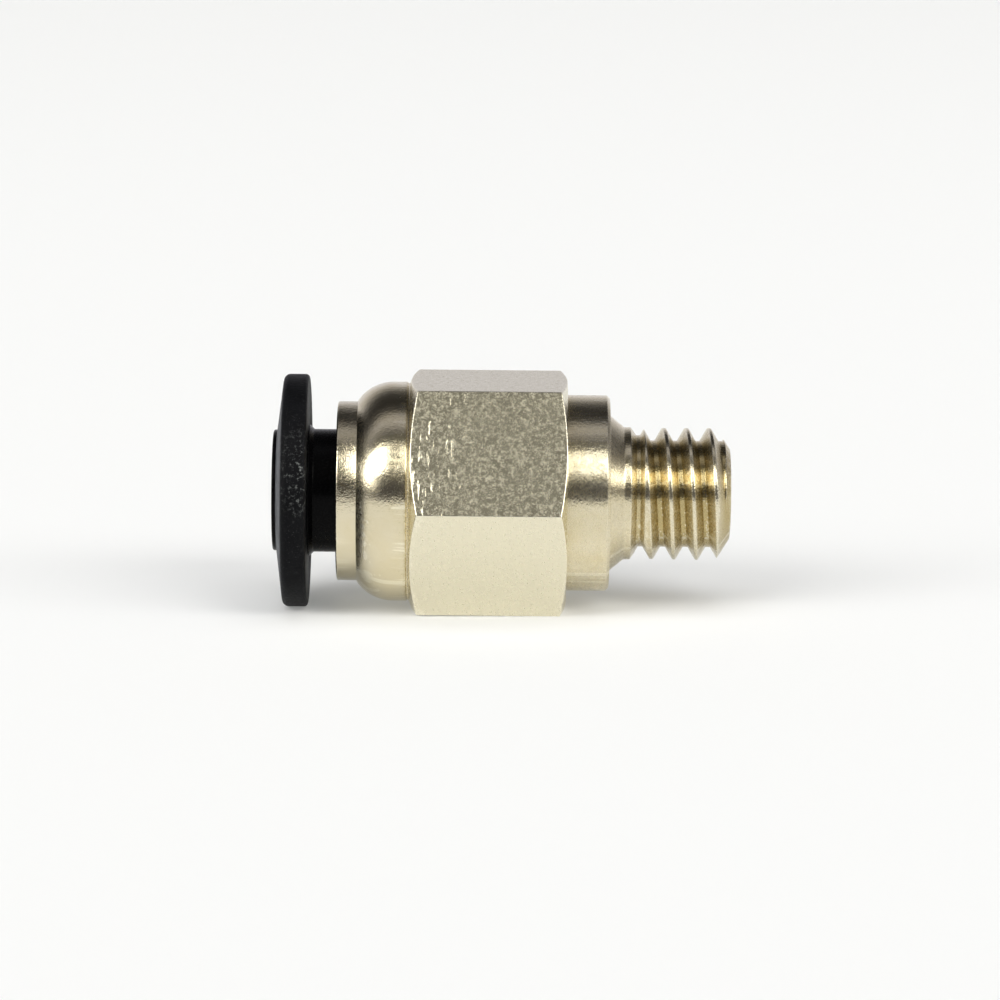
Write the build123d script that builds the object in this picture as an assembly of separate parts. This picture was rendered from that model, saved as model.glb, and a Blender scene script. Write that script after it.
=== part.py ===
from build123d import *

import os
from math import cos, radians, sin, sqrt, tan

# Straight male push-to-connect tube fitting: M6 x 1 thread, tube of 4 mm outside diameter.
# Millimetres. The origin is on the axis, in the seat face of the shoulder that meets the port.
# +X runs along the axis to the thread's end, and +Z is up with one flat of the hexagon down.
# Every outline below is drawn as (x, radius) and turned about the X axis.

# Body: outside, from the thread's end back to the domed mouth
thread_end_x = 5.34
thread_pitch = 1.0
thread_major_radius = 2.93
thread_blank_taper = 0.03        # the blank is this much smaller in radius at its first crest
thread_root_radius = 2.34
thread_flank_angle = 30.0        # each flank, from a plane square to the axis
thread_root_flat = 0.20
thread_lead_in_length = 0.60
thread_end_radius = 1.98
crest_phase_x = 0.18             # where the crest line crosses the +Y side, one pitch apart
root_cone_radius = 3.46          # cone at the foot of the shank, where it leaves the seat face
root_cone_length = 0.65
shank_length = 0.93              # root cone and plain shank, from the shoulder to the relief's wall
relief_wall_length = 0.25        # sloping wall from the shank down to the relief
relief_width = 0.17              # level floor of the relief
relief_radius = 2.58
shoulder_radius = 4.33
shoulder_chamfer = 0.14
hexagon_across_flats = 10.0
hexagon_right_x = -1.89
hexagon_left_x = -8.84
hexagon_right_chamfer_start = 5.0
hexagon_right_chamfer_length = 0.27
hexagon_left_chamfer_start = 4.80
hexagon_left_chamfer_length = 0.38
valley_radius = 4.80
valley_width = 0.10
dome_radius = 4.85
dome_flat_start_x = -9.54
dome_curve_radius = 1.95
lip_x = -11.12

# Body: inside
flow_bore_radius = 1.25
flow_bore_chamfer = 0.15
tube_seat_radius = 2.05
tube_stop_x = -0.50
drill_point_angle = 59.0         # half of the 118 degree point, from the axis
gland_radius = 3.45
gland_floor_x = -1.75
gland_mouth_x = -4.05
chamber_radius = 3.75
sleeve_seat_radius = 4.25
sleeve_end_x = -7.60
lip_taper_end_x = -10.42

# Guide sleeve, pressed into the mouth and held by the rolled lip
sleeve_front_x = -12.02
sleeve_front_radius = 3.97
sleeve_edge = 0.08
sleeve_bore_radius = 2.78
sleeve_mouth_chamfer = 0.32
sleeve_taper_start_x = -9.10
sleeve_taper_end_radius = 3.62

# Collet: a tube with sprung fingers at its inner end
collet_front_x = -14.86
collet_hub_radius = 2.675
collet_neck_radius = 2.72
collet_flare_radius = 2.95
collet_flare_length = 0.24
collet_groove_radius = 2.52
collet_tube_radius = 2.05
collet_mouth_radius = 2.36
collet_mouth_depth = 0.30
finger_relief_radius = 2.25
finger_root_x = -9.50
finger_heel_x = -9.05            # where the fingers begin to swell
finger_shoulder_radius = 3.53
finger_crown_end_x = -6.20
finger_tip_radius = 3.15
finger_tip_x = -5.20
finger_tip_chamfer = 0.25
finger_count = 4
slot_width = 0.80

# Release ring, snapped into the collet's groove
ring_back_x = -13.29
ring_rim_radius = 5.15
ring_rim_front_x = -14.38
ring_nose_x = -14.69
ring_rib_front_x = -14.46
ring_bore_radius = 2.69
ring_front_rounding = 0.28
ring_back_rounding = 0.17

# Gripping teeth, one blade set in each finger
tooth_tip_x = -5.75
tooth_tip_radius = 1.93
tooth_lean = 35.0                # from the radius, towards the thread
tooth_blade_length = 1.50
tooth_thickness = 0.25
tooth_arc = 40.0

# Seals
o_ring_section_radius = 0.77
o_ring_outer_radius = 3.44
o_ring_gap = 0.01                # between the ring and the gland's floor
backup_ring_gap = 0.03           # between the washer and the O-ring
backup_ring_inner_radius = 2.15
backup_ring_outer_radius = 3.39
backup_ring_edge = 0.10

beyond = 3.0                     # how far a cutting solid runs past what it cuts


def turned(outline):
    """Solid of revolution about the X axis, from a closed outline in (x, radius)."""
    return revolve(make_face(outline), Axis.X)


def closed(*points):
    """Closed outline with straight sides."""
    return Polyline(*points, close=True)


def thread_groove():
    """The helical groove between the crests, right-handed, ready to cut from the blank."""
    half_root = thread_root_flat / 2
    flank_rise = thread_major_radius - thread_root_radius
    half_mouth = half_root + flank_rise * tan(radians(thread_flank_angle))
    outer = thread_major_radius + thread_blank_taper + 0.2
    section = make_face(
        closed(
            (-half_root, thread_root_radius),
            (half_root, thread_root_radius),
            (half_mouth, thread_major_radius),
            (half_mouth, outer),
            (-half_mouth, outer),
            (-half_mouth, thread_major_radius),
        )
    )
    # the groove starts in the middle of the relief, half a pitch from the crest line
    relief_x = shank_length + relief_wall_length
    start_x = relief_x + relief_width / 2
    turns_to_start = (start_x - crest_phase_x - thread_pitch / 2) / thread_pitch
    length = thread_end_x + thread_pitch - start_x
    path = Helix(thread_pitch, length, thread_root_radius, direction=(1, 0, 0))
    first = path @ 0
    to_plus_y = Vector(0, first.Y, first.Z).get_signed_angle(Vector(0, 1, 0), Vector(1, 0, 0))
    path = path.rotate(Axis.X, to_plus_y)
    groove = sweep(section, path, is_frenet=True)
    groove = Pos(X=start_x) * groove.rotate(Axis.X, 360 * turns_to_start)
    # the tool never reaches the plain shank
    shank_side = Pos(X=relief_x - beyond / 2) * Box(beyond, 4 * outer, 4 * outer)
    return groove - shank_side


def body_shaft():
    """Shoulder, root cone, plain shank, relief and the thread's blank, turned."""
    relief_x = shank_length + relief_wall_length
    relief_end_x = relief_x + relief_width
    relief_depth = thread_major_radius - thread_blank_taper - relief_radius
    first_crest_x = relief_end_x + relief_depth * tan(radians(thread_flank_angle))
    lead_in_x = thread_end_x - thread_lead_in_length
    outline = Polyline(
        (hexagon_right_x - beyond, 0),
        (hexagon_right_x - beyond, shoulder_radius),
        (-shoulder_chamfer, shoulder_radius),
        (0, shoulder_radius - shoulder_chamfer),
        (0, root_cone_radius),
        (root_cone_length, thread_major_radius),
        (shank_length, thread_major_radius),
        (relief_x, relief_radius),
        (relief_end_x, relief_radius),
        (first_crest_x, thread_major_radius - thread_blank_taper),
        (lead_in_x, thread_major_radius),
        (thread_end_x, thread_end_radius),
        (thread_end_x, 0),
        (hexagon_right_x - beyond, 0),
    )
    return turned(outline)


def body_hexagon():
    """The spanner hexagon, with its corners turned down at both ends."""
    length = hexagon_right_x - hexagon_left_x
    corner = hexagon_across_flats / 2 / cos(radians(30))
    prism = extrude(Plane.YZ * RegularPolygon(corner, 6), length)
    prism = Pos(X=hexagon_left_x) * prism
    turned_ends = turned(
        closed(
            (hexagon_left_x, 0),
            (hexagon_left_x, hexagon_left_chamfer_start),
            (hexagon_left_x + hexagon_left_chamfer_length, corner),
            (hexagon_right_x - hexagon_right_chamfer_length, corner),
            (hexagon_right_x, hexagon_right_chamfer_start),
            (hexagon_right_x, 0),
        )
    )
    return prism & turned_ends


def dome_radius_at(x):
    """Radius of the domed mouth where it curves in towards the lip."""
    across = dome_flat_start_x - x
    return dome_radius - dome_curve_radius + sqrt(dome_curve_radius**2 - across**2)


def body_mouth():
    """Domed mouth, rolled in over the sleeve, with a valley where it meets the hexagon."""
    middle_x = (lip_x + dome_flat_start_x) / 2
    valley_x = hexagon_left_x - valley_width
    outline = Polyline((lip_x, 0), (lip_x, dome_radius_at(lip_x)))
    outline += ThreePointArc(
        (lip_x, dome_radius_at(lip_x)),
        (middle_x, dome_radius_at(middle_x)),
        (dome_flat_start_x, dome_radius),
    )
    outline += Polyline(
        (dome_flat_start_x, dome_radius),
        (valley_x, dome_radius),
        (valley_x + valley_width / 2, valley_radius),
        (hexagon_left_x + beyond, valley_radius),
        (hexagon_left_x + beyond, 0),
        (lip_x, 0),
    )
    return turned(outline)


def body_cavity():
    """Everything bored out of the body: mouth, finger chamber, seal gland, tube seat, flow bore."""
    point_length = (tube_seat_radius - flow_bore_radius) / tan(radians(drill_point_angle))
    return turned(
        closed(
            (lip_x - beyond, 0),
            (lip_x - beyond, sleeve_front_radius),
            (lip_x, sleeve_front_radius),
            (lip_taper_end_x, sleeve_seat_radius),
            (sleeve_end_x, sleeve_seat_radius),
            (sleeve_end_x, chamber_radius),
            (gland_mouth_x, chamber_radius),
            (gland_mouth_x, gland_radius),
            (gland_floor_x, gland_radius),
            (gland_floor_x, tube_seat_radius),
            (tube_stop_x, tube_seat_radius),
            (tube_stop_x + point_length, flow_bore_radius),
            (thread_end_x - flow_bore_chamfer, flow_bore_radius),
            (thread_end_x, flow_bore_radius + flow_bore_chamfer),
            (thread_end_x + beyond, flow_bore_radius + flow_bore_chamfer),
            (thread_end_x + beyond, 0),
        )
    )


def body():
    """Nickel-plated brass body, turned from hexagon bar."""
    outside = body_shaft() + body_hexagon() + body_mouth()
    return outside - body_cavity() - thread_groove()


def guide_sleeve():
    """Bush that guides the collet; its inner taper closes the fingers on the tube."""
    return turned(
        closed(
            (sleeve_front_x, sleeve_bore_radius + sleeve_mouth_chamfer),
            (sleeve_front_x, sleeve_front_radius - sleeve_edge),
            (sleeve_front_x + sleeve_edge, sleeve_front_radius),
            (lip_x, sleeve_front_radius),
            (lip_taper_end_x, sleeve_seat_radius),
            (sleeve_end_x, sleeve_seat_radius),
            (sleeve_end_x, sleeve_taper_end_radius),
            (sleeve_taper_start_x, sleeve_bore_radius),
            (sleeve_front_x + sleeve_mouth_chamfer, sleeve_bore_radius),
        )
    )


def finger_slots():
    """Slots that part the collet's inner end into fingers, each with a round root."""
    length = finger_tip_x - finger_root_x + beyond
    reach = finger_shoulder_radius + beyond
    slots = Part()
    for index in range(finger_count // 2):
        slot = Pos(X=finger_root_x + length / 2) * Box(length, slot_width, 2 * reach)
        slot += Pos(X=finger_root_x) * Cylinder(slot_width / 2, 2 * reach)
        slots += slot.rotate(Axis.X, index * 360 / finger_count)
    return slots


def finger_angle(index):
    """Middle of a finger, in degrees about the X axis."""
    return (index + 0.5) * 360 / finger_count


def gripping_tooth(index):
    """Stainless blade, an arc of a dished washer, set in one finger and leaning inwards."""
    lean = radians(tooth_lean)
    back_x = tooth_tip_x - tooth_blade_length * sin(lean)
    back_radius = tooth_tip_radius + tooth_blade_length * cos(lean)
    over_x = tooth_thickness * cos(lean)
    over_radius = tooth_thickness * sin(lean)
    section = make_face(
        closed(
            (tooth_tip_x, tooth_tip_radius),
            (back_x, back_radius),
            (back_x + over_x, back_radius + over_radius),
            (tooth_tip_x + over_x, tooth_tip_radius + over_radius),
        )
    )
    blade = revolve(section, Axis.X, tooth_arc)
    # the section lies on +Y, and +Y is finger angle zero
    return blade.rotate(Axis.X, finger_angle(index) - tooth_arc / 2)


def collet(teeth):
    """Black acetal collet: hub, neck and sprung fingers in one moulding."""
    blank = turned(
        closed(
            (collet_front_x, collet_mouth_radius),
            (collet_front_x, collet_hub_radius - 0.06),
            (collet_front_x + 0.06, collet_hub_radius),
            (ring_rib_front_x, collet_hub_radius),
            (ring_rib_front_x, collet_groove_radius),
            (ring_back_x, collet_groove_radius),
            (ring_back_x, collet_flare_radius),
            (ring_back_x + collet_flare_length, collet_neck_radius),
            (finger_heel_x, collet_neck_radius),
            (sleeve_end_x, finger_shoulder_radius),
            (finger_crown_end_x, finger_shoulder_radius),
            (finger_tip_x, finger_tip_radius),
            (finger_tip_x, finger_relief_radius + finger_tip_chamfer),
            (finger_tip_x - finger_tip_chamfer, finger_relief_radius),
            (finger_root_x, finger_relief_radius),
            (finger_root_x - 0.4, collet_tube_radius),
            (collet_front_x + collet_mouth_depth, collet_tube_radius),
        )
    )
    moulding = blank - finger_slots()
    for tooth in teeth:
        moulding -= tooth
    return moulding


def release_ring():
    """Charcoal ring that is pressed towards the body to let the tube go."""
    face = make_face(
        closed(
            (ring_back_x, collet_groove_radius),
            (ring_back_x, ring_rim_radius),
            (ring_rim_front_x, ring_rim_radius),
            (ring_nose_x, ring_bore_radius),
            (ring_rib_front_x, ring_bore_radius),
            (ring_rib_front_x, collet_groove_radius),
        )
    )
    rim_corners = face.vertices().filter_by(lambda v: v.Y > ring_rim_radius - 0.01)
    rim_corners = rim_corners.sort_by(Axis.X)
    face = fillet(rim_corners[0], ring_front_rounding)
    back_corner = face.vertices().sort_by_distance((ring_back_x, ring_rim_radius, 0))[0]
    face = fillet(back_corner, ring_back_rounding)
    return revolve(face, Axis.X)


def o_ring():
    """Rubber ring that seals on the outside of the tube."""
    middle_radius = o_ring_outer_radius - o_ring_section_radius
    middle_x = gland_floor_x - o_ring_gap - o_ring_section_radius
    return turned(Pos(middle_x, middle_radius) * CenterArc((0, 0), o_ring_section_radius, 0, 360))


def backup_ring():
    """Loose acetal washer between the O-ring and the fingers."""
    right_x = gland_floor_x - o_ring_gap - 2 * o_ring_section_radius - backup_ring_gap
    left_x = gland_mouth_x
    edge = backup_ring_edge
    return turned(
        closed(
            (left_x, backup_ring_inner_radius + edge),
            (left_x + edge, backup_ring_inner_radius),
            (right_x, backup_ring_inner_radius),
            (right_x, backup_ring_outer_radius - edge),
            (right_x - edge, backup_ring_outer_radius),
            (left_x, backup_ring_outer_radius),
        )
    )


def write(name, shape):
    """Write one named node as parts/NAME.step."""
    shape.label = name
    export_step(shape, f"parts/{name}.step")


os.makedirs("parts", exist_ok=True)
gripping_teeth = [gripping_tooth(index) for index in range(finger_count)]
write("body", body())
write("guide_sleeve", guide_sleeve())
write("collet", collet(gripping_teeth))
write("release_ring", release_ring())
write("o_ring", o_ring())
write("backup_ring", backup_ring())
for number, tooth in enumerate(gripping_teeth, start=1):
    write(f"gripping_tooth_{number}", tooth)
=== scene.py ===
"""Looks of a straight push-to-connect tube fitting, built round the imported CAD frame. Metres."""

import math

import bpy
import numpy as np
from mathutils import Matrix, Vector


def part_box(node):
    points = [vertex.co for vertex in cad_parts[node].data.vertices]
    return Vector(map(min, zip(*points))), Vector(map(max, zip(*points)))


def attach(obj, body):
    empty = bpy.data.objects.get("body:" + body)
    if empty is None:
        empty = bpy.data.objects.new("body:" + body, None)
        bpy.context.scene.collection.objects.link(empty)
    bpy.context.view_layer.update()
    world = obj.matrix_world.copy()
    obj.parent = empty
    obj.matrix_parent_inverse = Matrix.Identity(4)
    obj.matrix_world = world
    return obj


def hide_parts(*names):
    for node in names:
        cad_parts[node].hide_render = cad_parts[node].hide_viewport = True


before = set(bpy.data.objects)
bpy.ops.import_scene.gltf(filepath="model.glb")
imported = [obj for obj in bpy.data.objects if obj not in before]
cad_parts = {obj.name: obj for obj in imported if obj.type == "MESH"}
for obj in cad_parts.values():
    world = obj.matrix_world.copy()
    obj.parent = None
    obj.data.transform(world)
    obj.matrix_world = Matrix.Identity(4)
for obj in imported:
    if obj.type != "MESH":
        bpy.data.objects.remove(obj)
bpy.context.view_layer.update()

MM = 0.001
DEGREE = math.pi / 180

# ---------------------------------------------------------------- sizes, in millimetres from the shoulder seat


def box_mm(node):
    """A CAD node's lowest and highest corners, in millimetres."""
    low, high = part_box(node)
    return [v / MM for v in low], [v / MM for v in high]


body_low, body_high = box_mm("body")
sleeve_low, sleeve_high = box_mm("guide_sleeve")
ring_low, ring_high = box_mm("release_ring")
collet_low, collet_high = box_mm("collet")

APOTHEM = body_high[2]                      # the hexagon stands on a flat
HEX_CORNER = APOTHEM / math.cos(math.pi / 6)
THREAD_END_X = body_high[0]
LIP_X = body_low[0]
SLEEVE_FRONT_X = sleeve_low[0]
SLEEVE_END_X = sleeve_high[0]
SLEEVE_SEAT_RADIUS = sleeve_high[2]
RING_NOSE_X = ring_low[0]
RING_BACK_X = ring_high[0]
RING_RIM_RADIUS = ring_high[2]
COLLET_FRONT_X = collet_low[0]

HEX_LEFT_X = -8.84
HEX_RIGHT_X = -1.89
HEX_LEFT_CHAMFER = (4.80, 0.38)             # radius at the hexagon's end, length along the axis
HEX_RIGHT_CHAMFER = (5.0, 0.27)
THREAD_PITCH = 1.0
THREAD_MAJOR = 2.93
THREAD_FIRST_CREST = 2.90
THREAD_ROOT = 2.34
THREAD_ROOT_FLAT = 0.20
THREAD_CREST_PHASE = 0.18
THREAD_LEAD_IN = 0.60
THREAD_END_RADIUS = 1.98
FLANK_SLOPE = math.tan(30 * DEGREE)
ROOT_CONE_RADIUS = 3.46
ROOT_CONE_END_X = 0.65
SHANK_END_X = 0.93
RELIEF_START_X = SHANK_END_X + 0.25
RELIEF_END_X = RELIEF_START_X + 0.17
RELIEF_RADIUS = 2.58
SHOULDER_RADIUS = 4.33
SHOULDER_CHAMFER = 0.14
DOME_RADIUS = 4.85
DOME_FLAT_X = -9.54
DOME_CURVE = 1.95
VALLEY_RADIUS = 4.80
VALLEY_WIDTH = 0.10

FLOW_BORE_RADIUS = 1.25
FLOW_BORE_CHAMFER = 0.15
SEAT_CONE_END_X = -0.02
SEAT_CONE_START_X = -0.50
TUBE_SEAT_RADIUS = 2.05
SEAL_GLAND_END_X = -1.75
SEAL_GLAND_START_X = -4.05
SEAL_GLAND_RADIUS = 3.45
FINGER_CHAMBER_RADIUS = 3.75

SLEEVE_RADIUS = 3.97
SLEEVE_SHOULDER_X = -10.42
SLEEVE_BORE_RADIUS = 2.78
SLEEVE_MOUTH_RADIUS = 3.10
SLEEVE_MOUTH_LENGTH = 0.32
SLEEVE_TAPER_X = -9.10
SLEEVE_TAPER_END_RADIUS = 3.62

RING_RIM_FRONT_X = -14.38
RING_RIB_X = -14.46
RING_BORE_RADIUS = 2.53
RING_NOSE_RADIUS = 2.69

HUB_RADIUS = 2.675
HUB_MOUTH_RADIUS = 2.36
HUB_MOUTH_LENGTH = 0.30
RING_GROOVE_RADIUS = 2.52
NECK_RADIUS = 2.72
NECK_FLANGE_RADIUS = 2.95
NECK_FLANGE_LENGTH = 0.24
TUBE_PORT_RADIUS = 2.05


# ---------------------------------------------------------------- mesh helpers


def sector_angles(per_sector=96, sectors=6, crowding=0.55):
    """Angles round the axis, closer together near the hexagon's corners. Angle 0 is +Y."""
    even = np.linspace(-1, 1, per_sector, endpoint=False)
    crowded = np.sign(even) * (1 - (1 - np.abs(even)) ** (1 + crowding))
    half = math.pi / sectors
    sector = [math.pi / 2 + k * 2 * half + crowded * half for k in range(sectors)]
    return np.concatenate(sector)


def even_angles(count):
    return np.linspace(0, 2 * math.pi, count, endpoint=False)


def grid_mesh(name, rings, angles):
    """Closed mesh from rings of (x, radius) in millimetres; x and radius are numbers or arrays per angle."""
    columns = len(angles)
    points = np.empty((len(rings), columns, 3))
    for row, (x, radius) in enumerate(rings):
        points[row, :, 0] = x
        points[row, :, 1] = radius * np.cos(angles)
        points[row, :, 2] = radius * np.sin(angles)
    points = points.reshape(-1, 3) * MM
    rows = np.arange(len(rings))
    here = np.arange(columns)
    a = rows[:, None] * columns + here[None, :]
    after = np.roll(a, -1, axis=0)
    right = np.roll(a, -1, axis=1)
    both = np.roll(after, -1, axis=1)
    quads = np.stack([a, right, both, after], axis=-1).reshape(-1, 4)
    mesh = bpy.data.meshes.new(name)
    mesh.from_pydata(points.tolist(), [], quads.tolist())
    mesh.update()
    piece = bpy.data.objects.new(name, mesh)
    bpy.context.scene.collection.objects.link(piece)
    return piece


def finish_mesh(piece, material):
    """Outward normals, smooth shading, one material."""
    mesh = piece.data
    volume = signed_volume(mesh)
    if volume < 0:
        mesh.flip_normals()
    mesh.shade_smooth()
    mesh.materials.append(material)
    return piece


def signed_volume(mesh):
    """Positive when the faces look outwards."""
    mesh.calc_loop_triangles()
    corners = np.empty(len(mesh.vertices) * 3)
    mesh.vertices.foreach_get("co", corners)
    corners = corners.reshape(-1, 3)
    index = np.empty(len(mesh.loop_triangles) * 3, dtype=np.int32)
    mesh.loop_triangles.foreach_get("vertices", index)
    a, b, c = (corners[index.reshape(-1, 3)[:, k]] for k in range(3))
    return float(np.einsum("ij,ij->i", a, np.cross(b, c)).sum())


def rounded(outline, steps=6, hold=0.03):
    """Points along a closed outline of (x, radius, rounding), with arcs at the corners.

    Next to each arc a holding point keeps the shading of the long straight stretches flat.
    """
    count = len(outline)
    points = []
    for k in range(count):
        before = np.array(outline[k - 1][:2])
        corner = np.array(outline[k][:2])
        after = np.array(outline[(k + 1) % count][:2])
        rounding = outline[k][2] if len(outline[k]) > 2 else 0.0
        back = before - corner
        ahead = after - corner
        back_length = np.linalg.norm(back)
        ahead_length = np.linalg.norm(ahead)
        back = back / back_length
        ahead = ahead / ahead_length
        turn = math.acos(max(-1.0, min(1.0, float(-back @ ahead))))
        if rounding <= 0 or turn < 0.02:
            points.append(corner)
            continue
        cut = rounding * math.tan(turn / 2)
        limit = 0.45 * min(back_length, ahead_length)
        if cut > limit:
            rounding *= limit / cut
            cut = limit
        start = corner + back * cut
        end = corner + ahead * cut
        centre = corner + (back + ahead) / np.linalg.norm(back + ahead) * rounding / math.cos(turn / 2)
        if back_length > 2 * (cut + hold):
            points.append(start + back * hold)
        first = start - centre
        normal = (end - centre) - first * math.cos(turn)
        normal = normal / max(1e-12, np.linalg.norm(normal)) * rounding
        for s in range(steps + 1):
            angle = turn * s / steps
            points.append(centre + first * math.cos(angle) + normal * math.sin(angle))
        if ahead_length > 2 * (cut + hold):
            points.append(end + ahead * hold)
    return [(float(p[0]), float(p[1])) for p in points]


def lathe(name, outline, material, columns=256, steps=6):
    """A turned or moulded ring from a closed outline of (x, radius, rounding)."""
    return finish_mesh(grid_mesh(name, rounded(outline, steps), even_angles(columns)), material)


def soft_min(a, b, softness):
    """Smaller of two radii, with the corner between them rounded over about this width."""
    near = np.maximum(softness - np.abs(a - b), 0) / softness
    return np.minimum(a, b) - near * near * softness / 4


def soft_max(a, b, softness):
    return -soft_min(-a, -b, softness)


# ---------------------------------------------------------------- shader helpers

TEXTURE_GENERATED = 0                       # places of outputs on Blender's own nodes
TEXTURE_OBJECT = 3
GEOMETRY_NORMAL = 1
GEOMETRY_POINTINESS = 7


class Nodes:
    """Short way to build a node tree: each call adds one node and returns its first output."""

    def __init__(self, tree):
        self.tree = tree
        tree.nodes.clear()

    def add(self, kind, inputs=None, output=0, **settings):
        node = self.tree.nodes.new(kind)
        for key, value in settings.items():
            setattr(node, key, value)
        for key, value in (inputs or {}).items():
            if isinstance(value, bpy.types.NodeSocket):
                self.tree.links.new(value, node.inputs[key])
            else:
                node.inputs[key].default_value = value
        return node.outputs[output]

    def math(self, operation, a, b=0.0, c=0.0):
        return self.add("ShaderNodeMath", {0: a, 1: b, 2: c}, operation=operation)

    def map(self, value, low, high, to_low=0.0, to_high=1.0, smooth=False):
        kind = "SMOOTHSTEP" if smooth else "LINEAR"
        keys = {"Value": value, "From Min": low, "From Max": high, "To Min": to_low, "To Max": to_high}
        return self.add("ShaderNodeMapRange", keys, interpolation_type=kind)

    def ramp(self, value, stops):
        node = self.tree.nodes.new("ShaderNodeValToRGB")
        elements = node.color_ramp.elements
        while len(elements) < len(stops):
            elements.new(0.5)
        for element, (position, colour) in zip(elements, stops):
            element.position = position
            element.color = (*colour, 1.0)
        self.tree.links.new(value, node.inputs[0])
        return node.outputs[0]

    def mix(self, factor, a, b, blend="MIX"):
        keys = {"Factor": factor, 6: a, 7: b}
        return self.add("ShaderNodeMix", keys, output=2, data_type="RGBA", blend_type=blend)

    def mix_number(self, factor, a, b):
        return self.add("ShaderNodeMix", {"Factor": factor, 2: a, 3: b}, data_type="FLOAT")

    def vector(self, x, y, z):
        return self.add("ShaderNodeCombineXYZ", {0: x, 1: y, 2: z})

    def weighted(self, *terms):
        """Sum of values, each given with its weight."""
        total = None
        for value, weight in terms:
            term = self.math("MULTIPLY", value, weight)
            total = term if total is None else self.math("ADD", total, term)
        return total

    def grain(self, y, z):
        """Surface direction square to the turned lines, on sides, cones and end faces alike."""
        normal = self.add("ShaderNodeNewGeometry", output=GEOMETRY_NORMAL)
        round_axis = self.vector(0.0, self.math("MULTIPLY", z, -1.0), y)
        return self.add("ShaderNodeVectorMath", {0: normal, 1: round_axis}, operation="CROSS_PRODUCT")

    def noise(self, vector, scale, detail=3.0, roughness=0.5):
        keys = {"Vector": vector, "Scale": scale, "Detail": detail, "Roughness": roughness}
        return self.add("ShaderNodeTexNoise", keys)

    def lines(self, coordinates, frequencies, detail, roughness):
        """Noise drawn out into lines, by giving each coordinate a frequency of its own."""
        scaled = [self.math("MULTIPLY", *pair) for pair in zip(coordinates, frequencies)]
        return self.noise(self.vector(*scaled), 1.0, detail, roughness)

    def worn_and_highlit_edges(self, start, amount):
        """Mask of the convex edges, from the mesh's own sharpness, for edges painted lighter: plate rubbed
        there, and a painted highlight along them.
        """
        sharpness = self.add("ShaderNodeNewGeometry", output=GEOMETRY_POINTINESS)
        return self.math("MULTIPLY", self.map(sharpness, start, 0.53), amount)


def axis_coordinates(nodes):
    """x, y and z in millimetres, then the angle round the axis in radians and the distance from it."""
    place = nodes.add("ShaderNodeTexCoord", output=TEXTURE_OBJECT)
    parts = nodes.tree.nodes.new("ShaderNodeSeparateXYZ")
    nodes.tree.links.new(place, parts.inputs[0])
    x, y, z = (nodes.math("MULTIPLY", parts.outputs[k], 1 / MM) for k in range(3))
    angle = nodes.math("ARCTAN2", z, y)
    radius = nodes.math("SQRT", nodes.weighted((y, y), (z, z)))
    return x, y, z, angle, radius


def new_material(name):
    material = bpy.data.materials.new(name)
    material.use_nodes = True
    return material, Nodes(material.node_tree)


def output(nodes, shader):
    out = nodes.tree.nodes.new("ShaderNodeOutputMaterial")
    nodes.tree.links.new(shader, out.inputs["Surface"])


# ---------------------------------------------------------------- materials


def nickel(name, tint, deep_tint, along=0.0, around=0.0, mottle=0.0, rough=(0.12, 0.24)):
    """Bright plated or bare metal.

    along and around give the strength of the lines drawn along the axis and turned round it; mottle is the
    orange-peel of the surface.
    """
    material, nodes = new_material(name)
    x, y, z, angle, radius = axis_coordinates(nodes)
    place = nodes.vector(x, y, z)

    drawn = nodes.lines((x, y, z), (0.7, 14, 14), 4.0, 0.6)
    turned_lines = nodes.lines((x, angle, radius), (16, 0.9, 16), 4.0, 0.65)
    peel = nodes.noise(place, 5.5, 4.0, 0.62)
    fine_peel = nodes.noise(place, 14.0, 2.0, 0.6)
    height = nodes.weighted((drawn, along), (turned_lines, around), (peel, mottle), (fine_peel, mottle * 0.8))
    bump = nodes.add("ShaderNodeBump", {"Strength": 1.0, "Distance": 0.01 * MM, "Height": height})

    stain = nodes.map(nodes.noise(place, 0.9, 3.0, 0.6), 0.35, 0.7)
    colour = nodes.mix(nodes.math("MULTIPLY", stain, 0.5), (*tint, 1), (*deep_tint, 1))
    # convex edges painted lighter: partly plate rubbed there, partly a painted highlight along the edge
    colour = nodes.mix(nodes.worn_and_highlit_edges(0.502, 0.35), colour, (*WORN_AND_HIGHLIT_EDGE, 1))
    roughness = nodes.map(nodes.noise(place, 3.0, 3.0), 0.3, 0.7, *rough)
    shader = nodes.add(
        "ShaderNodeBsdfPrincipled",
        {"Base Color": colour, "Metallic": 1.0, "Roughness": roughness, "Normal": bump,
         "Anisotropic": 0.6, "Tangent": nodes.grain(y, z)},
    )
    output(nodes, shader)
    return material


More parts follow.
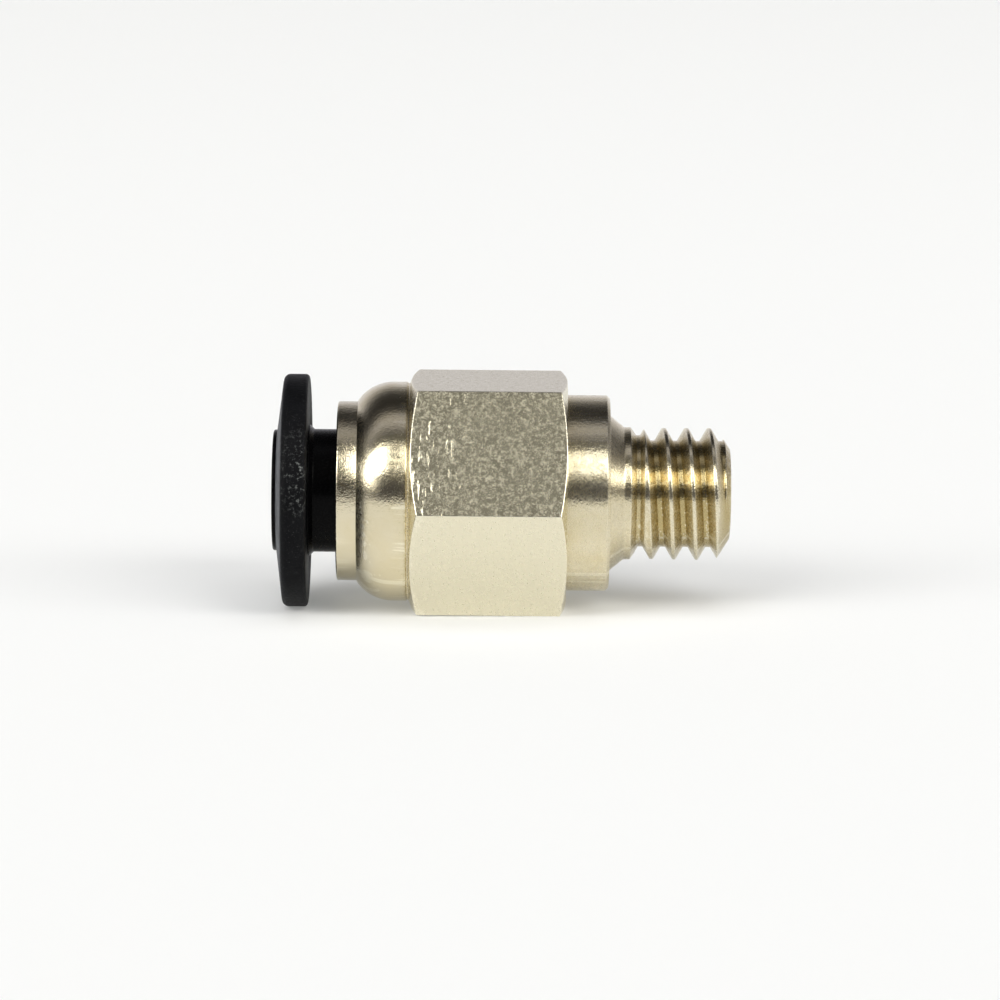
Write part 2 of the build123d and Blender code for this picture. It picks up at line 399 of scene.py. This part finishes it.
def plastic(name, colour, dust, rough, peel=0.3, dust_amount=0.5, gloss=0.3, sheen_and_lint=False):
    """Moulded plastic with a faint peel and specks of dust.

    Its last switch adds what only the release ring has: a painted sheen that makes the front cone paler, and
    lint on the rim's side.
    """
    material, nodes = new_material(name)
    x, y, z, angle, radius = axis_coordinates(nodes)
    place = nodes.vector(x, y, z)
    grain = nodes.noise(place, 9.0, 4.0, 0.6)
    bump = nodes.add("ShaderNodeBump", {"Strength": peel, "Distance": 0.02 * MM, "Height": grain})
    specks = nodes.noise(place, 16.0, 3.0, 0.7)
    patches = nodes.map(nodes.noise(place, 0.5, 2.0), 0.42, 0.65, smooth=True)
    specks = nodes.math("MULTIPLY", nodes.map(specks, 0.60, 0.72, smooth=True), patches)
    tone = nodes.map(nodes.noise(place, 1.1, 3.0), 0.3, 0.7, 0.75, 1.25)
    base = nodes.mix(1.0, (*colour, 1), nodes.vector(tone, tone, tone), "MULTIPLY")
    base = nodes.mix(nodes.math("MULTIPLY", specks, dust_amount), base, (*dust, 1))
    if sheen_and_lint:
        # painted sheen: the front cone is painted paler and bluer, in streaks, for the light falling on it
        on_cone = nodes.map(x, RING_RIM_FRONT_X - 0.10, RING_RIM_FRONT_X + 0.04, 1.0, 0.0, True)
        streaks = nodes.noise(nodes.vector(radius, nodes.math("MULTIPLY", angle, 6), x), 1.3, 3.0)
        cone_sheen = nodes.math("MULTIPLY", on_cone, nodes.map(streaks, 0.3, 0.7, 0.4, 1.0))
        base = nodes.mix(cone_sheen, base, (*CONE_SHEEN_CHARCOAL, 1))
        lint = nodes.map(nodes.noise(place, 5.5, 5.0, 0.8), 0.53, 0.66, smooth=True)
        from_band = nodes.math("ABSOLUTE", nodes.math("SUBTRACT", z, LINT_BAND_Z))
        band = nodes.map(from_band, 0.3, 2.3, 1.0, 0.06, True)
        right = nodes.map(x, RING_RIM_FRONT_X + 0.1, RING_BACK_X - 0.2, 0.25, 1.0)
        lint = nodes.math("MULTIPLY", nodes.math("MULTIPLY", lint, band), right)
        base = nodes.mix(lint, base, (*LINT, 1))
    roughness = nodes.map(grain, 0.3, 0.7, rough - 0.06, rough + 0.08)
    shader = nodes.add(
        "ShaderNodeBsdfPrincipled",
        {"Base Color": base, "Roughness": roughness, "Normal": bump, "Specular IOR Level": gloss},
    )
    output(nodes, shader)
    return material


NICKEL = (0.735, 0.665, 0.49)
NICKEL_WARM = (0.70, 0.61, 0.39)
NICKEL_HEXAGON = (0.775, 0.725, 0.565)
BRASSY = (0.50, 0.405, 0.20)
# colour of the convex edges: rubbed plate, and a painted highlight along them
WORN_AND_HIGHLIT_EDGE = (0.95, 0.9, 0.74)
STEEL = (0.62, 0.61, 0.59)
STEEL_DEEP = (0.55, 0.54, 0.52)
CHARCOAL = (0.0038, 0.0040, 0.0048)
CHARCOAL_DUST = (0.10, 0.10, 0.10)
# paler, bluer charcoal painted on the ring's front cone as a sheen of the light on it
CONE_SHEEN_CHARCOAL = (0.105, 0.112, 0.125)
LINT = (0.165, 0.175, 0.170)
LINT_BAND_Z = 1.5                           # height above the axis where most of the lint lies
BLACK = (0.0022, 0.0022, 0.0025)
BLACK_DUST = (0.06, 0.06, 0.06)
RUBBER = (0.010, 0.010, 0.010)
RUBBER_DUST = (0.05, 0.05, 0.05)
WHITE = (0.72, 0.71, 0.66)
WHITE_DUST = (0.6, 0.58, 0.52)

turned_nickel = nickel("turned_nickel", NICKEL, NICKEL_WARM, around=0.45, mottle=1.5, rough=(0.08, 0.17))
steel = nickel("tooth_steel", STEEL, STEEL_DEEP, along=0.3, mottle=0.1, rough=(0.2, 0.35))
charcoal = plastic("charcoal_plastic", CHARCOAL, CHARCOAL_DUST, 0.5, peel=0.8, gloss=0.07, sheen_and_lint=True)
black = plastic("black_acetal", BLACK, BLACK_DUST, 0.25, peel=0.1, dust_amount=0.2, gloss=0.06)
rubber = plastic("nitrile_rubber", RUBBER, RUBBER_DUST, 0.5)
white = plastic("white_acetal", WHITE, WHITE_DUST, 0.4, dust_amount=0.1)


def body_material():
    """The body's plate: drawn lines on the hexagon, turned lines elsewhere, a golden tint in the thread."""
    material, nodes = new_material("body_nickel")
    x, y, z, angle, radius = axis_coordinates(nodes)
    place = nodes.vector(x, y, z)
    on_hexagon = nodes.math(
        "MULTIPLY",
        nodes.map(x, HEX_LEFT_X - 0.02, HEX_LEFT_X + 0.02),
        nodes.map(x, HEX_RIGHT_X - 0.02, HEX_RIGHT_X + 0.02, 1.0, 0.0),
    )
    on_hexagon = nodes.math("MULTIPLY", on_hexagon, nodes.map(radius, 4.9, 4.98))
    in_thread = nodes.map(x, SHANK_END_X, RELIEF_START_X)

    drawn = nodes.lines((x, y, z), (0.8, 9, 9), 4.0, 0.6)
    peel = nodes.noise(place, 5.0, 3.0, 0.62)
    fine_peel = nodes.noise(place, 11.0, 2.0, 0.6)
    marks = nodes.map(nodes.lines((x, y, z), (7, 1.1, 1.1), 2.0, 0.5), 0.60, 0.74, smooth=True)
    near_left_end = nodes.map(x, HEX_LEFT_X + 0.6, HEX_LEFT_X + 3.2, 1.0, 0.08)
    marks = nodes.math("MULTIPLY", marks, near_left_end)
    hexagon_height = nodes.weighted((drawn, 0.25), (peel, 0.55), (fine_peel, 0.45), (marks, -0.55))

    turned_lines = nodes.lines((x, angle, radius), (14, 0.8, 14), 4.0, 0.65)
    turned_height = nodes.weighted((turned_lines, 0.45), (fine_peel, 0.55), (peel, 0.45))
    from_valley = nodes.math("ABSOLUTE", nodes.math("SUBTRACT", x, HEX_LEFT_X - 0.02))
    in_valley = nodes.map(from_valley, 0.06, 0.22, 1.0, 0.0, True)
    turned_height = nodes.math("MULTIPLY", turned_height, nodes.math("SUBTRACT", 1.0, in_valley))
    height = nodes.mix_number(on_hexagon, turned_height, hexagon_height)
    bump = nodes.add("ShaderNodeBump", {"Strength": 1.0, "Distance": 0.012 * MM, "Height": height})

    stain = nodes.map(nodes.noise(place, 0.8, 3.0, 0.6), 0.35, 0.7)
    turned_tint = nodes.mix(nodes.math("MULTIPLY", stain, 0.6), (*NICKEL, 1), (*NICKEL_WARM, 1))
    depth = nodes.map(radius, THREAD_MAJOR, THREAD_ROOT, 0.25, 1.0)
    turned_tint = nodes.mix(nodes.math("MULTIPLY", in_thread, depth), turned_tint, (*BRASSY, 1))
    turned_tint = nodes.mix(nodes.math("MULTIPLY", in_valley, 0.5), turned_tint, (*BRASSY, 1))
    tint = nodes.mix(on_hexagon, turned_tint, (*NICKEL_HEXAGON, 1))
    # convex edges painted lighter: partly plate rubbed there, partly a painted highlight along the edge
    tint = nodes.mix(nodes.worn_and_highlit_edges(0.503, 0.5), tint, (*WORN_AND_HIGHLIT_EDGE, 1))

    shifted = nodes.add("ShaderNodeVectorMath", {0: place, 1: (3.1, 7.7, 1.9)})
    blobs = nodes.noise(shifted, 4.5, 6.0, 0.9)
    smoother_dome = nodes.map(x, -9.3, -8.9, -0.07, 0.0)
    turned_rough = nodes.math("ADD", nodes.map(blobs, 0.36, 0.64, 0.19, 0.34), smoother_dome)
    hexagon_rough = nodes.map(blobs, 0.34, 0.66, 0.10, 0.37)
    shader = nodes.add(
        "ShaderNodeBsdfPrincipled",
        {"Base Color": tint, "Metallic": 1.0, "Normal": bump,
         "Roughness": nodes.mix_number(on_hexagon, turned_rough, hexagon_rough),
         "Anisotropic": nodes.map(on_hexagon, 0.0, 1.0, 0.95, 0.0), "Tangent": nodes.grain(y, z)},
    )
    output(nodes, shader)
    return material


# ---------------------------------------------------------------- body


def hexagon_radius(angles, rounding=0.07):
    """Distance from the axis to the hexagon with slightly worn corners, flat side down."""
    sector = math.pi / 3
    from_flat = (angles - math.pi / 2 + sector / 2) % sector - sector / 2
    flat = APOTHEM / np.cos(from_flat)
    arc_centre = (APOTHEM - rounding) / math.cos(sector / 2)
    from_corner = sector / 2 - np.abs(from_flat)
    inside = np.maximum(rounding**2 - (arc_centre * np.sin(from_corner)) ** 2, 0)
    arc = arc_centre * np.cos(from_corner) + np.sqrt(inside)
    arc_ends_at = math.atan((APOTHEM - rounding) * math.tan(sector / 2) / APOTHEM)
    return np.where(np.abs(from_flat) > arc_ends_at, arc, flat)


def thread_radius(x, angles):
    """Radius of the threaded end at x for every angle."""
    shape = np.interp(
        x,
        [RELIEF_START_X, RELIEF_END_X, RELIEF_END_X + (THREAD_FIRST_CREST - RELIEF_RADIUS) * FLANK_SLOPE,
         THREAD_END_X - THREAD_LEAD_IN, THREAD_END_X],
        [RELIEF_RADIUS, RELIEF_RADIUS, THREAD_FIRST_CREST, THREAD_MAJOR, THREAD_END_RADIUS],
    )
    turn = angles / (2 * math.pi)
    from_groove = (x - THREAD_CREST_PHASE - turn) % THREAD_PITCH - THREAD_PITCH / 2
    groove_middle = x - from_groove
    flank = THREAD_ROOT + np.maximum(np.abs(from_groove) - THREAD_ROOT_FLAT / 2, 0) / FLANK_SLOPE
    flank = soft_max(flank, np.full_like(flank, THREAD_ROOT), 0.05)
    start = (RELIEF_START_X + RELIEF_END_X) / 2
    begun = np.clip((groove_middle - start + 0.05) / 0.15, 0, 1)
    flank = flank + (1 - begun) * (THREAD_MAJOR - THREAD_ROOT)
    return soft_min(np.full_like(flank, shape), flank, 0.04)


def body_rings(angles):
    """Rings of the body from the lip, over the outside to the thread's end, and back through the bore."""
    rings = []
    outside_left = rounded(
        [(LIP_X, SLEEVE_RADIUS), (LIP_X, dome_radius(LIP_X), 0.015)]
        + [(x, dome_radius(x)) for x in np.linspace(LIP_X + 0.05, DOME_FLAT_X, 40)]
        + [(HEX_LEFT_X - VALLEY_WIDTH, DOME_RADIUS, 0.06), (HEX_LEFT_X - VALLEY_WIDTH / 2, VALLEY_RADIUS, 0.03),
           (HEX_LEFT_X, VALLEY_RADIUS), (HEX_LEFT_X, 4.0)],
        hold=0.02,
    )
    rings += [(x, np.full_like(angles, r)) for x, r in outside_left[:-1]]

    corner = hexagon_radius(angles)
    left_start, left_length = HEX_LEFT_CHAMFER
    right_start, right_length = HEX_RIGHT_CHAMFER
    left_slope = (HEX_CORNER - left_start) / left_length
    right_slope = (HEX_CORNER - right_start) / right_length
    ends = np.linspace(0.0, 0.62, 32)
    stations = np.concatenate([HEX_LEFT_X + ends, np.linspace(HEX_LEFT_X + 0.7, HEX_RIGHT_X - 0.6, 24),
                               HEX_RIGHT_X - np.linspace(0.52, 0.0, 30)])
    for x in stations:
        left_cone = left_start + (x - HEX_LEFT_X) * left_slope
        right_cone = right_start + (HEX_RIGHT_X - x) * right_slope
        radius = soft_min(corner, np.full_like(corner, left_cone), 0.06)
        radius = soft_min(radius, np.full_like(corner, right_cone), 0.06)
        rings.append((x, radius))
    rings.append((HEX_RIGHT_X, np.full_like(angles, right_start - 0.04)))

    shoulder = rounded(
        [(HEX_RIGHT_X, 4.6), (HEX_RIGHT_X, SHOULDER_RADIUS, 0.03), (-0.14, SHOULDER_RADIUS, 0.05),
         (0.0, SHOULDER_RADIUS - SHOULDER_CHAMFER, 0.05), (0.0, ROOT_CONE_RADIUS, 0.04),
         (ROOT_CONE_END_X, THREAD_MAJOR, 0.15), (SHANK_END_X, THREAD_MAJOR, 0.05),
         (RELIEF_START_X - 0.01, RELIEF_RADIUS + 0.014), (SHANK_END_X - 1, 2.0)],
        hold=0.03,
    )
    rings += [(x, np.full_like(angles, r)) for x, r in shoulder[:-1]]

    for x in np.linspace(RELIEF_START_X, THREAD_END_X - 0.01, 210):
        rings.append((x, thread_radius(x, angles)))

    inside = rounded(
        [(THREAD_END_X, THREAD_END_RADIUS, 0.05),
         (THREAD_END_X, FLOW_BORE_RADIUS + FLOW_BORE_CHAMFER, 0.03),
         (THREAD_END_X - FLOW_BORE_CHAMFER, FLOW_BORE_RADIUS, 0.05),
         (SEAT_CONE_END_X, FLOW_BORE_RADIUS), (SEAT_CONE_START_X, TUBE_SEAT_RADIUS),
         (SEAL_GLAND_END_X, TUBE_SEAT_RADIUS, 0.1), (SEAL_GLAND_END_X, SEAL_GLAND_RADIUS, 0.05),
         (SEAL_GLAND_START_X, SEAL_GLAND_RADIUS, 0.05), (SEAL_GLAND_START_X, FINGER_CHAMBER_RADIUS, 0.05),
         (SLEEVE_END_X, FINGER_CHAMBER_RADIUS, 0.05), (SLEEVE_END_X, SLEEVE_SEAT_RADIUS),
         (SLEEVE_SHOULDER_X, SLEEVE_SEAT_RADIUS), (LIP_X, SLEEVE_RADIUS), (LIP_X - 1, 3.0)],
    )
    rings += [(x, np.full_like(angles, r)) for x, r in inside[:-2]]
    return rings


def dome_radius(x):
    """Radius of the domed mouth where it curves in towards the lip."""
    across = max(0.0, DOME_FLAT_X - x)
    return DOME_RADIUS - DOME_CURVE + math.sqrt(DOME_CURVE**2 - across**2)


angles = sector_angles()
body = finish_mesh(grid_mesh("hexagon_body", body_rings(angles), angles), body_material())
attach(body, "fitting_body")
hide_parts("body")


# ---------------------------------------------------------------- sleeve and release ring

sleeve = lathe(
    "guide_bush",
    [
        (SLEEVE_FRONT_X, SLEEVE_MOUTH_RADIUS, 0.06),
        (SLEEVE_FRONT_X, SLEEVE_RADIUS - 0.01, 0.09),
        (LIP_X, SLEEVE_RADIUS),
        (SLEEVE_SHOULDER_X, SLEEVE_SEAT_RADIUS - 0.005),
        (SLEEVE_END_X, SLEEVE_SEAT_RADIUS - 0.005, 0.05),
        (SLEEVE_END_X, SLEEVE_TAPER_END_RADIUS, 0.03),
        (SLEEVE_TAPER_X, SLEEVE_BORE_RADIUS, 0.1),
        (SLEEVE_FRONT_X + SLEEVE_MOUTH_LENGTH, SLEEVE_BORE_RADIUS, 0.1),
    ],
    turned_nickel,
)
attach(sleeve, "fitting_body")
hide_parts("guide_sleeve")

release_ring = lathe(
    "press_ring",
    [
        (RING_BACK_X, RING_BORE_RADIUS),
        (RING_BACK_X, RING_RIM_RADIUS, 0.17),
        (RING_RIM_FRONT_X, RING_RIM_RADIUS, 0.28),
        (RING_NOSE_X, RING_NOSE_RADIUS, 0.03),
        (RING_RIB_X, RING_NOSE_RADIUS),
        (RING_RIB_X, RING_BORE_RADIUS),
    ],
    charcoal,
)
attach(release_ring, "collet_group")
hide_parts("release_ring")


# ---------------------------------------------------------------- collet: hub, neck and four sprung fingers

FINGER_ROOT_X = -9.90
FINGER_TIP_X = collet_high[0]
FINGER_OUTSIDE = ([FINGER_ROOT_X, -9.05, -7.60, -6.20, FINGER_TIP_X],
                  [NECK_RADIUS, NECK_RADIUS, 3.53, 3.53, 3.15])
SLOT_ROOT_X = -9.50
FINGER_INSIDE = ([FINGER_ROOT_X, SLOT_ROOT_X, FINGER_TIP_X - 0.25, FINGER_TIP_X],
                 [TUBE_PORT_RADIUS, 2.25, 2.25, 2.50])
SLOT_HALF = 0.40


def finger(index, first):
    """Points and faces of one finger; its slot sides are flat and run out in a round root."""
    stations = np.concatenate([np.linspace(FINGER_ROOT_X, SLOT_ROOT_X, 14), np.linspace(-9.4, -5.3, 60),
                               [FINGER_TIP_X - 0.04, FINGER_TIP_X]])
    points = []
    across = np.linspace(0, 1, 25)
    for x in stations:
        outside = np.interp(x, *FINGER_OUTSIDE)
        inside = np.interp(x, *FINGER_INSIDE)
        half = math.sqrt(max(0.0, SLOT_HALF**2 - min(0.0, x - SLOT_ROOT_X) ** 2))
        for radius, way in ((outside, across), (inside, across[::-1])):
            edge = math.asin(half / radius)
            for t in way:
                angle = index * math.pi / 2 + edge + t * (math.pi / 2 - 2 * edge)
                points.append((x * MM, radius * math.cos(angle) * MM, radius * math.sin(angle) * MM))
    loop = 2 * len(across)
    faces = []
    for row in range(len(stations) - 1):
        for k in range(loop):
            a = first + row * loop + k
            b = first + row * loop + (k + 1) % loop
            faces.append((a, b, b + loop, a + loop))
    last = first + (len(stations) - 1) * loop
    half_loop = len(across)
    for start in (first, last):
        for k in range(half_loop - 1):
            faces.append((start + k, start + k + 1, start + loop - 2 - k, start + loop - 1 - k))
    return points, faces


def make_collet():
    """Turned tube with the four fingers set on its inner end, as one mesh."""
    outline = rounded(
        [
            (COLLET_FRONT_X, HUB_MOUTH_RADIUS, 0.10),
            (COLLET_FRONT_X, HUB_RADIUS, 0.08),
            (RING_RIB_X, HUB_RADIUS),
            (RING_RIB_X, RING_GROOVE_RADIUS),
            (RING_BACK_X, RING_GROOVE_RADIUS),
            (RING_BACK_X, NECK_FLANGE_RADIUS, 0.03),
            (RING_BACK_X + NECK_FLANGE_LENGTH, NECK_RADIUS, 0.08),
            (FINGER_ROOT_X, NECK_RADIUS),
            (FINGER_ROOT_X, TUBE_PORT_RADIUS),
            (COLLET_FRONT_X + HUB_MOUTH_LENGTH, TUBE_PORT_RADIUS, 0.15),
        ]
    )
    tube = grid_mesh("collet_tube", outline, even_angles(256))
    points = [tuple(v.co) for v in tube.data.vertices]
    faces = [tuple(f.vertices) for f in tube.data.polygons]
    if signed_volume(tube.data) < 0:
        faces = [face[::-1] for face in faces]
    bpy.data.objects.remove(tube)
    for index in range(4):
        more_points, more_faces = finger(index, len(points))
        points += more_points
        faces += more_faces
    mesh = bpy.data.meshes.new("sprung_collet")
    mesh.from_pydata(points, [], faces)
    mesh.update()
    mesh.shade_smooth()
    mesh.set_sharp_from_angle(angle=45 * DEGREE)
    mesh.materials.append(black)
    piece = bpy.data.objects.new("sprung_collet", mesh)
    bpy.context.scene.collection.objects.link(piece)
    return piece


collet = make_collet()
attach(collet, "collet_group")
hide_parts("collet")


# ---------------------------------------------------------------- CAD nodes that keep their shape


def dress(node, material):
    """Give a CAD node its material, with its mesh as it is."""
    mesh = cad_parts[node].data
    mesh.materials.clear()
    mesh.materials.append(material)


dress("o_ring", rubber)
dress("backup_ring", white)
for number in range(1, 5):
    dress(f"gripping_tooth_{number}", steel)


# ---------------------------------------------------------------- studio

TILT = 0.56 * DEGREE         # it rests on the release ring and on the hexagon's far edge
UP = (-math.sin(TILT), 0.0, math.cos(TILT))
REST_X = HEX_RIGHT_X - 0.33
FLOOR_HALF = 3000
FLOOR_PAINT = (0.67, 0.675, 0.68)
FLOOR_GLOW = (0.218, 0.223, 0.217)
SIDE_WALL = (0.32, 0.31, 0.30)
SOFTBOX_WHITE = (1.0, 0.985, 0.95)
CAMERA_ELEVATION = 10.8 * DEGREE            # above the table top
CAMERA_DISTANCE = 240.0
CAMERA_TARGET = (-4.82, 0.0, -0.36)
SENSOR_WIDTH = 36.0
VIEW_WIDTH = 44.3262                        # what the picture spans at the target, in millimetres

# The wall's brightness at angles from the horizon at the camera (0), over the top (90), to the one behind (180).
WALL_LEVELS = [
    (0, 0.095), (9, 0.085), (15, 0.06), (20, 0.085), (25, 0.12), (30, 0.16), (35, 0.18), (42, 0.17), (55, 0.17),
    (62, 0.17), (69, 0.13), (75, 0.12), (81, 0.26), (87, 0.46), (94, 0.46), (99, 0.32), (104, 0.09), (109, 0.05),
    (117, 0.03), (127, 0.035), (137, 0.06), (145, 0.18), (155, 0.45), (168, 0.74), (180, 0.74),
]
WARM_WALL = (25, 69)                        # angles between which the wall is warm; it is cool elsewhere


def floor_point(x, y):
    """Point of the tilted table top that the fitting rests on."""
    return (x, y, -APOTHEM + (x - REST_X) * math.tan(TILT))


def make_floor():
    """Large pale table top, lit a little from below, that fills the view."""
    signs = ((-1, -1), (1, -1), (1, 1), (-1, 1))
    corners = [floor_point(x * FLOOR_HALF, y * FLOOR_HALF) for x, y in signs]
    mesh = bpy.data.meshes.new("studio_floor")
    mesh.from_pydata([[v * MM for v in p] for p in corners], [], [(0, 1, 2, 3)])
    floor = bpy.data.objects.new("studio_floor", mesh)
    bpy.context.scene.collection.objects.link(floor)
    material, nodes = new_material("floor_white")
    matt = nodes.add("ShaderNodeBsdfDiffuse", {"Color": (*FLOOR_PAINT, 1)})
    glow = nodes.add("ShaderNodeEmission", {"Color": (*FLOOR_GLOW, 1), "Strength": 1.0})
    output(nodes, nodes.add("ShaderNodeAddShader", {0: matt, 1: glow}))
    mesh.materials.append(material)


def wall_colour(angle, brightness):
    """Colour of the wall at an angle, in degrees."""
    blue = 0.88 if WARM_WALL[0] <= angle <= WARM_WALL[1] else 1.06
    return (brightness * 1.02, brightness, brightness * blue)


def window(nodes, across, middle, half, up, low, high, strength, blur=5):
    """Soft-edged patch of light between two angles across and two angles up, in degrees."""
    left = nodes.map(across, (middle - half - blur) * DEGREE, (middle - half) * DEGREE, smooth=True)
    right = nodes.map(across, (middle + half) * DEGREE, (middle + half + blur) * DEGREE, 1.0, 0.0, True)
    bottom = nodes.map(up, (low - blur) * DEGREE, low * DEGREE, smooth=True)
    top = nodes.map(up, high * DEGREE, (high + blur) * DEGREE, 1.0, 0.0, True)
    mask = nodes.math("MULTIPLY", nodes.math("MULTIPLY", left, right), nodes.math("MULTIPLY", bottom, top))
    return nodes.math("MULTIPLY", mask, strength)


def make_world():
    """Room seen in the metal: dark round the camera, softboxes in front and at the sides, bright wall behind."""
    world = bpy.data.worlds.new("studio")
    bpy.context.scene.world = world
    world.use_nodes = True
    nodes = Nodes(world.node_tree)
    direction = nodes.add("ShaderNodeTexCoord", output=TEXTURE_GENERATED)
    parts = nodes.tree.nodes.new("ShaderNodeSeparateXYZ")
    nodes.tree.links.new(direction, parts.inputs[0])
    x, y, z = parts.outputs
    front = nodes.math("MULTIPLY", y, -1.0)
    over = nodes.math("ARCTAN2", z, front)
    stops = [(angle / 180, wall_colour(angle, brightness)) for angle, brightness in WALL_LEVELS]
    wall = nodes.ramp(nodes.math("MULTIPLY", over, 1 / math.pi), stops)
    side = nodes.map(nodes.math("ABSOLUTE", x), 0.84, 0.92, smooth=True)
    wall = nodes.mix(side, wall, (*SIDE_WALL, 1))

    azimuth = nodes.math("ARCTAN2", x, front)
    elevation = nodes.math("ARCSINE", z)
    left_box = window(nodes, azimuth, -50, 24, over, 36, 58, 5.4)
    right_box = window(nodes, azimuth, 50, 24, over, 36, 58, 5.4)
    low_box = window(nodes, azimuth, -60, 12, elevation, 10, 33, 1.9)
    light = nodes.math("ADD", nodes.math("ADD", left_box, right_box), low_box)

    room = nodes.add("ShaderNodeBackground", {"Color": wall, "Strength": 1.0})
    lit = nodes.add("ShaderNodeBackground", {"Color": (*SOFTBOX_WHITE, 1), "Strength": light})
    both = nodes.add("ShaderNodeAddShader", {0: room, 1: lit})
    out = nodes.tree.nodes.new("ShaderNodeOutputWorld")
    nodes.tree.links.new(both, out.inputs["Surface"])


def make_light(name, place, size, power):
    """Soft lamp, in metres and watts, that lights floor and matt parts; the metal sees the room instead."""
    data = bpy.data.lights.new(name, "AREA")
    data.shape = "DISK"
    data.size = size
    data.energy = power
    lamp = bpy.data.objects.new(name, data)
    lamp.location = place
    lamp.rotation_euler = (-Vector(place)).to_track_quat("-Z", "Y").to_euler()
    lamp.visible_glossy = False
    lamp.visible_camera = False
    bpy.context.scene.collection.objects.link(lamp)


def make_camera():
    """Camera in front and a little above, level with the tilted table top."""
    target = Vector(CAMERA_TARGET)
    up = Vector(UP)
    back = Vector((0, -math.cos(CAMERA_ELEVATION), 0)) + up * math.sin(CAMERA_ELEVATION)
    data = bpy.data.cameras.new("camera")
    data.sensor_width = SENSOR_WIDTH
    data.lens = SENSOR_WIDTH * CAMERA_DISTANCE / VIEW_WIDTH
    data.clip_start = 0.01
    data.clip_end = 50.0
    camera = bpy.data.objects.new("camera", data)
    z_axis = back.normalized()
    x_axis = up.cross(z_axis).normalized()
    y_axis = z_axis.cross(x_axis)
    turn = Matrix((x_axis, y_axis, z_axis)).transposed().to_4x4()
    camera.matrix_world = Matrix.Translation((target + z_axis * CAMERA_DISTANCE) * MM) @ turn
    bpy.context.scene.collection.objects.link(camera)
    bpy.context.scene.camera = camera


make_floor()
make_world()
make_light("overhead", (0.0, -0.05, 0.6), 0.5, 1.2)
make_camera()
bpy.context.scene.view_settings.view_transform = "Standard"
